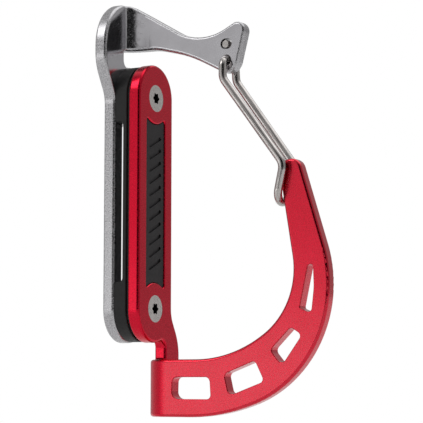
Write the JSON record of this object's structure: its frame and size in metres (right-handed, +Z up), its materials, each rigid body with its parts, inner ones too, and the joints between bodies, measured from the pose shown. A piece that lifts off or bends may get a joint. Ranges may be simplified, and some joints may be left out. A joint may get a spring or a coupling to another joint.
{
  "type": "harness tool holder",
  "caption": "Bolt-on tool holder for a climbing harness: two bent aluminium plates clamp a nylon webbing spacer, and a sprung wire gate closes the large hook.",
  "frame": {"origin": "centre of the webbing slot, between the back plate and the nylon web", "axes": "+Z up along the plates towards the nose, +X away from the wearer towards the hook tip, nose and hook lie in the XZ plane"},
  "size_m": [0.0828, 0.0343, 0.1447],
  "materials": {
    "polished_aluminium": "polished faces, tumbled edges",
    "anodised_aluminium": "red anodised, satin",
    "nylon": "moulded, matte",
    "grip_rubber": "moulded, satin",
    "screw_steel": "turned stainless steel",
    "gate_steel": "drawn stainless spring wire"
  },
  "bodies": {
    "frame": {"back_plate": "polished_aluminium", "front_arm": "anodised_aluminium", "spacer": "nylon", "grip_insert": "grip_rubber", "screw_upper": "screw_steel", "screw_lower": "screw_steel", "gate_wire_spring_end": "gate_steel"},
    "gate": {"gate_wire": "gate_steel"}
  },
  "joints": [
    {"name": "gate_hinge", "type": "hinge", "parent": "frame", "child": "gate", "pos_m": [0.03785, 0, 0.0478], "axis": [0, 1, 0], "range_deg": [0, 35], "stiffness_Nm_per_rad": 0.35, "springref_deg": -17.19, "deforming": ["gate_wire_spring_end"]}
  ]
}
